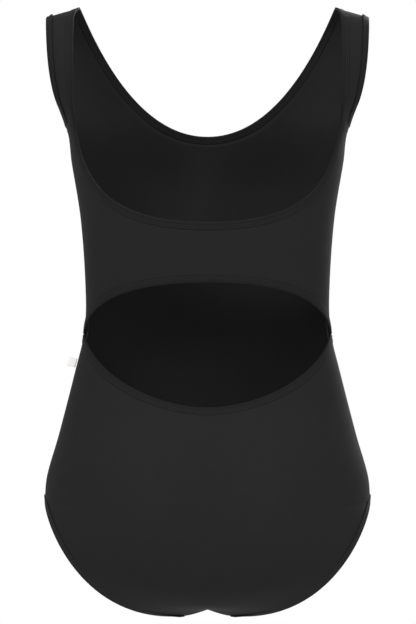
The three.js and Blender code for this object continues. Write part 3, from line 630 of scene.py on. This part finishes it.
def front_grids(tuck):
    a, b, c = count(52), count(20), count(36)
    neck = tucked(FRONT, front_neck, away(0, 0, -40), tuck)[::-1]
    armhole = evenly(FRONT, tucked(FRONT, front_armhole, away(230, 0, -62), tuck)[::-1], c)
    share = np.linspace(0, 1, a + 1)
    yoke = np.stack([SIDE * share, np.full(a + 1, YOKE_DROP)], axis=1)
    side = side_line(YOKE_DROP, armhole[0, 1], b)
    outer = np.concatenate([yoke, side[1:-1], armhole])
    collar = strip(FRONT, outer, parts_of(FRONT, neck, [0.3, 0.45, 1], [a, b, c]), count(30))
    runs = row_runs(YOKE_DROP)[:, None]
    body = both_sides(body_point(FRONT, outer_border(FRONT, tuck)(runs) * share, runs))
    return [collar[::-1], body]


def seat_grids(tuck):
    columns = count(60)
    top = evenly(BACK, tucked(BACK, cutout_bottom, towards(0, 0, -1), tuck), columns)
    border = outer_border(BACK, tuck)
    side_runs = row_runs(top[-1, 1])
    k = np.linspace(0, 1, len(side_runs))[:, None]
    settle = np.clip(k / 0.55, 0, 1)
    settle = settle * settle * (3 - 2 * settle)
    settle = np.where(np.arange(columns + 1) == columns, 1, settle)
    left = (CROTCH_END - side_runs)[:, None] / (CROTCH_END - side_runs[0])
    runs = CROTCH_END - (CROTCH_END - top[:, 1]) * left
    even = border(runs) * np.linspace(0, 1, columns + 1)
    phi = top[:, 0] + (even - top[:, 0]) * settle
    return [both_sides(body_point(BACK, phi, runs))]


def gusset_grids():
    shares = np.linspace(0.68, 1, count(16))
    width = np.linspace(0, 0.72, count(14))
    rows = []
    for face, order in ((FRONT, shares), (BACK, shares[::-1][1:])):
        runs = (HIP_DROP + CROTCH_RUN * order)[:, None]
        rows.append(both_sides(body_point(face, outer_border(face, BINDING_WIDTH / 2)(runs) * width, runs)))
    return [np.concatenate(rows)]


SEAM_TAPE_TOP = -FABRIC / 2 - GAP - LINING - SEAM_TAPE_SINK
SEAM_TAPE_LOW = SEAM_TAPE_TOP - SEAM_TAPE_THICKNESS


def dress(piece, material_slot, body, *nodes):
    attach(piece, body)
    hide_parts(*nodes)
    return piece


def add_panel(piece_name, cad_node, flat, grids, inner, outer, material, material_slot, groove=0):
    piece = thick_sheet(piece_name, grids, inner, outer, material, groove)
    dress(piece, material_slot, "garment", cad_node)


# ---------------------------------------------------------------- bindings


def fold_section(edge_half, stitch_half, swell, flush=False):
    """A strip of cloth folded round an edge: puffed at the fold, pinched by its rows of stitches.

    A turned-under hem is flush with the panel outside, and all of its thickness is inside."""
    outer = [
        (BINDING_WIDTH, edge_half),
        (BINDING_WIDTH - 0.5, edge_half + 0.1),
        (BINDING_WIDTH - 1.4, stitch_half),
        (BINDING_WIDTH - 2.4, swell * 0.9),
        (BINDING_WIDTH - 3.6, stitch_half + 0.05),
        (2.6, swell),
        (1.1, swell * 0.96),
        (0.35, swell * 0.7),
        (0, swell * 0.25),
    ]
    lower = [(d, -n) for d, n in reversed(outer)]
    top = FABRIC / 2 + 0.12
    if flush:
        outer = [(d, min(n, top - 0.03 * (n < stitch_half + 0.06))) for d, n in outer]
    inner_half = [max(n - BINDING_CLOTH, FABRIC / 2 + 0.03) for _, n in outer[:-2]]
    inner = [(d, n) for (d, _), n in zip(outer[:-2], inner_half)]
    inner_lower = [(d, -n) for d, n in inner]
    return outer + lower + inner_lower + inner[::-1]


def stitches(name, edge, rows, outer, inner, pitch=3.0):
    """Rows of short raised stitches on both faces of a binding."""
    here, normal, inward, tangent = (edge[k] for k in ("here", "normal", "inward", "tangent"))
    step = max(1, round(pitch / SPACING))
    chosen = np.arange(0, len(here) - 1, step)
    half_length, half_wide, proud = 1.0, 0.22, 0.16
    verts, faces = [], []
    foot = [(-1, -1, 0), (-1, 1, 0), (1, 1, 0), (1, -1, 0)]
    box = foot + [(0.7 * a, 0.6 * b, 1) for a, b, _ in foot]
    sides = [(4, 5, 6, 7), (0, 4, 7, 3), (3, 7, 6, 2), (2, 6, 5, 1), (1, 5, 4, 0), (3, 2, 1, 0)]
    for i in chosen:
        for d in rows:
            for up, height in ((1, outer), (-1, inner)):
                base = here[i] + inward[i] * d + normal[i] * up * height
                at = len(verts)
                for a, b, c in box:
                    verts.append(
                        base
                        + tangent[i] * a * half_length
                        + inward[i] * b * half_wide
                        + normal[i] * up * (c * proud - 0.05)
                    )
                turn = np.dot(np.cross(tangent[i], inward[i]), normal[i]) * up < 0
                for f in sides:
                    face = [at + v for v in f]
                    faces.append(face if turn else face[::-1])
    return new_object(name, verts, faces, thread, np.zeros((sum(map(len, faces)), 2)))


def add_binding(edge_name):
    edge = edges[edge_name]
    turned_hem = edge_name.endswith("leg")
    section = fold_section(0.5, 0.62, 0.95, True) if turned_hem else fold_section(0.85, 0.8, 1.3)
    piece = sweep(edge_name + "_binding_fold", edge, section, jersey if turned_hem else binding_jersey)
    dress(piece, "binding_jersey", "garment", edge_name + "_binding")
    outer, inner = (FABRIC / 2 + 0.12, 0.65) if turned_hem else (0.85, 0.85)
    rows = (BINDING_WIDTH - 1.4, BINDING_WIDTH - 3.6)
    sewn = stitches(edge_name + "_stitches", edge, rows, outer, inner)
    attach(sewn, "garment")
    half = ELASTIC_THICKNESS / 2
    near, far = BINDING_CLOTH + GAP, BINDING_CLOTH + GAP + ELASTIC_WIDTH
    band = [(near, half), (far, half), (far, -half), (near, -half)]
    strip_piece = sweep(edge_name + "_elastic_band", edge, band, elastic)
    dress(strip_piece, "elastic_tape", "garment", edge_name + "_elastic")


for edge_name in edges:
    add_binding(edge_name)

FACE_CLOTH = -FABRIC / 2, FABRIC / 2
lining_low = -FABRIC / 2 - GAP - LINING
gusset_top = SEAM_TAPE_LOW - GAP
SEAM_GROOVE = 0.35
add_panel(
    "front_cloth", "front_panel", FRONT_CUT, front_grids(PANEL_TUCK), *FACE_CLOTH,
    jersey, "outer_jersey", SEAM_GROOVE,
)
add_panel(
    "front_lining_cloth", "front_lining", FRONT_CUT, front_grids(BINDING_WIDTH + GAP),
    lining_low, lining_low + LINING, lining_mesh, "lining_mesh",
)
add_panel(
    "upper_back_cloth", "upper_back_panel", UPPER_BACK_CUT, upper_back_grids(PANEL_TUCK), *FACE_CLOTH,
    jersey, "outer_jersey", SEAM_GROOVE,
)
add_panel(
    "seat_cloth", "seat_panel", SEAT_CUT, seat_grids(PANEL_TUCK), *FACE_CLOTH,
    jersey, "outer_jersey", SEAM_GROOVE,
)
add_panel(
    "gusset_cloth", "gusset_lining", GUSSET_CUT, gusset_grids(),
    gusset_top - LINING, gusset_top, lining_mesh, "lining_mesh",
)

# ---------------------------------------------------------------- seams inside


def seam_edge(phi, runs, normal):
    here = body_point(BACK, phi, runs)
    tangent = unit(np.gradient(here, axis=0))
    normal = np.broadcast_to(np.array(normal, float), here.shape)
    normal = unit(normal - (normal * tangent).sum(1, keepdims=True) * tangent)
    return {
        "here": here, "normal": normal, "inward": np.cross(normal, tangent),
        "tangent": tangent, "closed": False,
    }


def add_seam(cad_node, phi, runs, normal):
    """Overlocked seam allowance: a thin wavy-edged tape, wrapped by thread."""
    half = SEAM_TAPE_WIDTH / 2
    top, low = SEAM_TAPE_TOP, SEAM_TAPE_LOW
    middle = (top + low) / 2
    section = [
        (half, middle), (half - 0.4, top), (0, top + 0.1), (-half + 0.4, top),
        (-half, middle), (-half + 0.4, low), (0, low - 0.1), (half - 0.4, low),
    ]
    edge = seam_edge(phi, runs, normal)
    ripple = 0.12 * np.sin(np.arange(len(edge["here"])) * 2.1)
    edge["here"] = edge["here"] + edge["inward"] * ripple[:, None]
    piece = sweep(cad_node + "_overlock", edge, section, thread)
    dress(piece, "seam_thread", "garment", cad_node)


seam_from, seam_to = UNDERARM_DROP + 2 * BINDING_WIDTH, HIP_DROP - 4 * BINDING_WIDTH
shoulder_margin = SHOULDER_SLOPE_DROP * BINDING_WIDTH / (STRAP_OUTER_X - STRAP_INNER_X)
for word, side in (("left", 1), ("right", -1)):
    runs = np.linspace(seam_from, seam_to, count(220))
    add_seam(word + "_side_seam", np.full(len(runs), side * SIDE), runs, (side, 0, 0))
    runs = np.linspace(shoulder_margin, SHOULDER_SLOPE_DROP - shoulder_margin, count(16))
    add_seam(word + "_shoulder_seam", np.full(len(runs), side * SIDE), runs, (0, 0, 1))
across = np.linspace(-0.5, 0.5, count(24)) * SIDE
add_seam("crotch_seam", across, np.full(len(across), float(CROTCH_END)), (0, 0, -1))

# ---------------------------------------------------------------- labels

joints = {j["name"]: j for j in frame["record"]["behaviour"]["joints"]}


def hinge_axes(joint_name):
    """A hinge's place in millimetres, and its outward, rearward and upward directions."""
    joint = joints[joint_name]
    up = np.array(joint["axis"], float)
    rear = np.array([0.0, 1.0, 0.0])
    return np.array(joint["pos_m"], float) / MM, np.cross(rear, up), rear, up


def ribbon_piece(name, joint_name, outline, height, material, rows=9, sag=0.0):
    """A ribbon standing along a hinge: an outline in (outward, rearward) run up the hinge line."""
    origin, out, rear, up = hinge_axes(joint_name)
    outline = np.asarray(outline, float)
    m = len(outline)
    verts, faces, uvs = [], [], []
    length = np.concatenate([[0], np.cumsum(np.linalg.norm(np.diff(outline, axis=0), axis=1))])
    for k, t in enumerate(np.linspace(-0.5, 0.5, rows)):
        round_off = 1 - 0.06 * abs(2 * t) ** 6
        for x, y in outline:
            lift = sag * math.sin(abs(x) / 9) * (0.5 - t)
            verts.append(origin + out * x * round_off + rear * (y + lift) + up * t * height)
    for k in range(rows - 1):
        for j in range(m):
            l = (j + 1) % m
            faces.append([k * m + j, k * m + l, (k + 1) * m + l, (k + 1) * m + j])
            over = length[l] if l else length[-1] + 0.5
            low, high = height * k / (rows - 1), height * (k + 1) / (rows - 1)
            uvs += [(length[j], low), (over, low), (over, high), (length[j], high)]
    faces += [list(range(m))[::-1], [(rows - 1) * m + j for j in range(m)]]
    uvs += [(0, 0)] * (2 * m)
    verts = np.array(verts)
    if turned_inside_out(verts, faces):
        faces = [f[::-1] for f in faces]
    return new_object(name, verts, faces, material, uvs)


half, inner = TAB_THICKNESS / 2, TAB_THICKNESS / 2 - TAB_RIBBON
bend = TAB_LENGTH - half
turns = np.linspace(-SIDE, SIDE, 11)
flat_x = np.linspace(0, bend, 8)[:-1]
belly = 0.12 * np.sin(flat_x / bend * math.pi)
outside = (
    [(x, -half + b) for x, b in zip(flat_x, belly)]
    + [(bend + half * math.cos(a), half * math.sin(a)) for a in turns]
    + [(x, half - b) for x, b in zip(flat_x[::-1], belly[::-1])]
)
inside = (
    [(x, inner - b) for x, b in zip(flat_x, belly)]
    + [(bend + inner * math.cos(a), inner * math.sin(a)) for a in turns[::-1]]
    + [(x, -inner + b) for x, b in zip(flat_x[::-1], belly[::-1])]
)
tab = ribbon_piece("side_tab_ribbon", "tab_flex", outside + inside, TAB_HEIGHT, ribbon)
dress(tab, "tab_ribbon", "tab", "side_tab")

reach = np.linspace(0, LABEL_LENGTH, 15)
curl = 1.4 * np.sin(reach / LABEL_LENGTH * math.pi * 1.2)
along_label = np.array([-math.cos(LABEL_TURN), math.sin(LABEL_TURN)])
bulge = np.array([math.sin(LABEL_TURN), math.cos(LABEL_TURN)])
centre = reach[:, None] * along_label + curl[:, None] * bulge
across_label = bulge * LABEL_THICKNESS / 2
label_outline = np.concatenate([centre + across_label, centre[::-1] - across_label])
label = ribbon_piece("care_label_satin", "label_flex", label_outline, LABEL_HEIGHT, satin, rows=15, sag=0.8)
dress(label, "label_satin", "label", "care_label")

# ---------------------------------------------------------------- floor, light and camera

FLOOR_DROP = 0.32
floor_z = cad_bounds[0][2] - FLOOR_DROP
floor_mesh = bpy.data.meshes.new("floor")
ring = [(1.9 * math.cos(a), 1.9 * math.sin(a), floor_z) for a in np.linspace(0, 2 * math.pi, 97)[:-1]]
floor_mesh.from_pydata(ring, [], [list(range(96))])
floor = bpy.data.objects.new("floor", floor_mesh)
bpy.context.collection.objects.link(floor)
floor_material = bpy.data.materials.new("floor_paper")
floor_material.use_nodes = True
floor_shader = floor_material.node_tree.nodes["Principled BSDF"]
floor_shader.inputs["Base Color"].default_value = (0.66, 0.66, 0.66, 1)
floor_shader.inputs["Roughness"].default_value = 0.9
floor.data.materials.append(floor_material)

world = bpy.data.worlds.new("studio")
bpy.context.scene.world = world
world.use_nodes = True
world.node_tree.nodes["Background"].inputs["Color"].default_value = (1, 1, 1, 1)
world.node_tree.nodes["Background"].inputs["Strength"].default_value = 1.0


def softbox(name, place, size, watts, target=(0, 0, -0.33)):
    light = bpy.data.lights.new(name, "AREA")
    light.energy, light.size = watts, size
    obj = bpy.data.objects.new(name, light)
    obj.location = place
    obj.rotation_mode = "QUATERNION"
    obj.rotation_quaternion = (Vector(target) - Vector(place)).to_track_quat("-Z", "Y")
    bpy.context.collection.objects.link(obj)


softbox("key", (1.4, 2.4, 1.0), 1.2, 62)
softbox("fill", (-1.8, 2.1, 0.3), 1.4, 34)
softbox("front_key", (-1.3, -2.4, 1.0), 1.4, 80)
softbox("top", (0, 0.2, 2.2), 1.6, 22)

scene = bpy.context.scene
scene.view_settings.view_transform = "Standard"
camera = bpy.data.cameras.new("camera")
view_height = 0.643  # metres that the picture's height covers at the garment
camera_distance = 4.5
camera.lens = camera.sensor_width * camera_distance / view_height
camera_object = bpy.data.objects.new("camera", camera)
camera_object.location = (-0.0005, camera_distance, (cad_bounds[0][2] + cad_bounds[1][2]) / 2)
camera_object.rotation_mode = "QUATERNION"
camera_object.rotation_quaternion = Vector((0, -1, 0)).to_track_quat("-Z", "Y")
bpy.context.collection.objects.link(camera_object)
scene.camera = camera_object
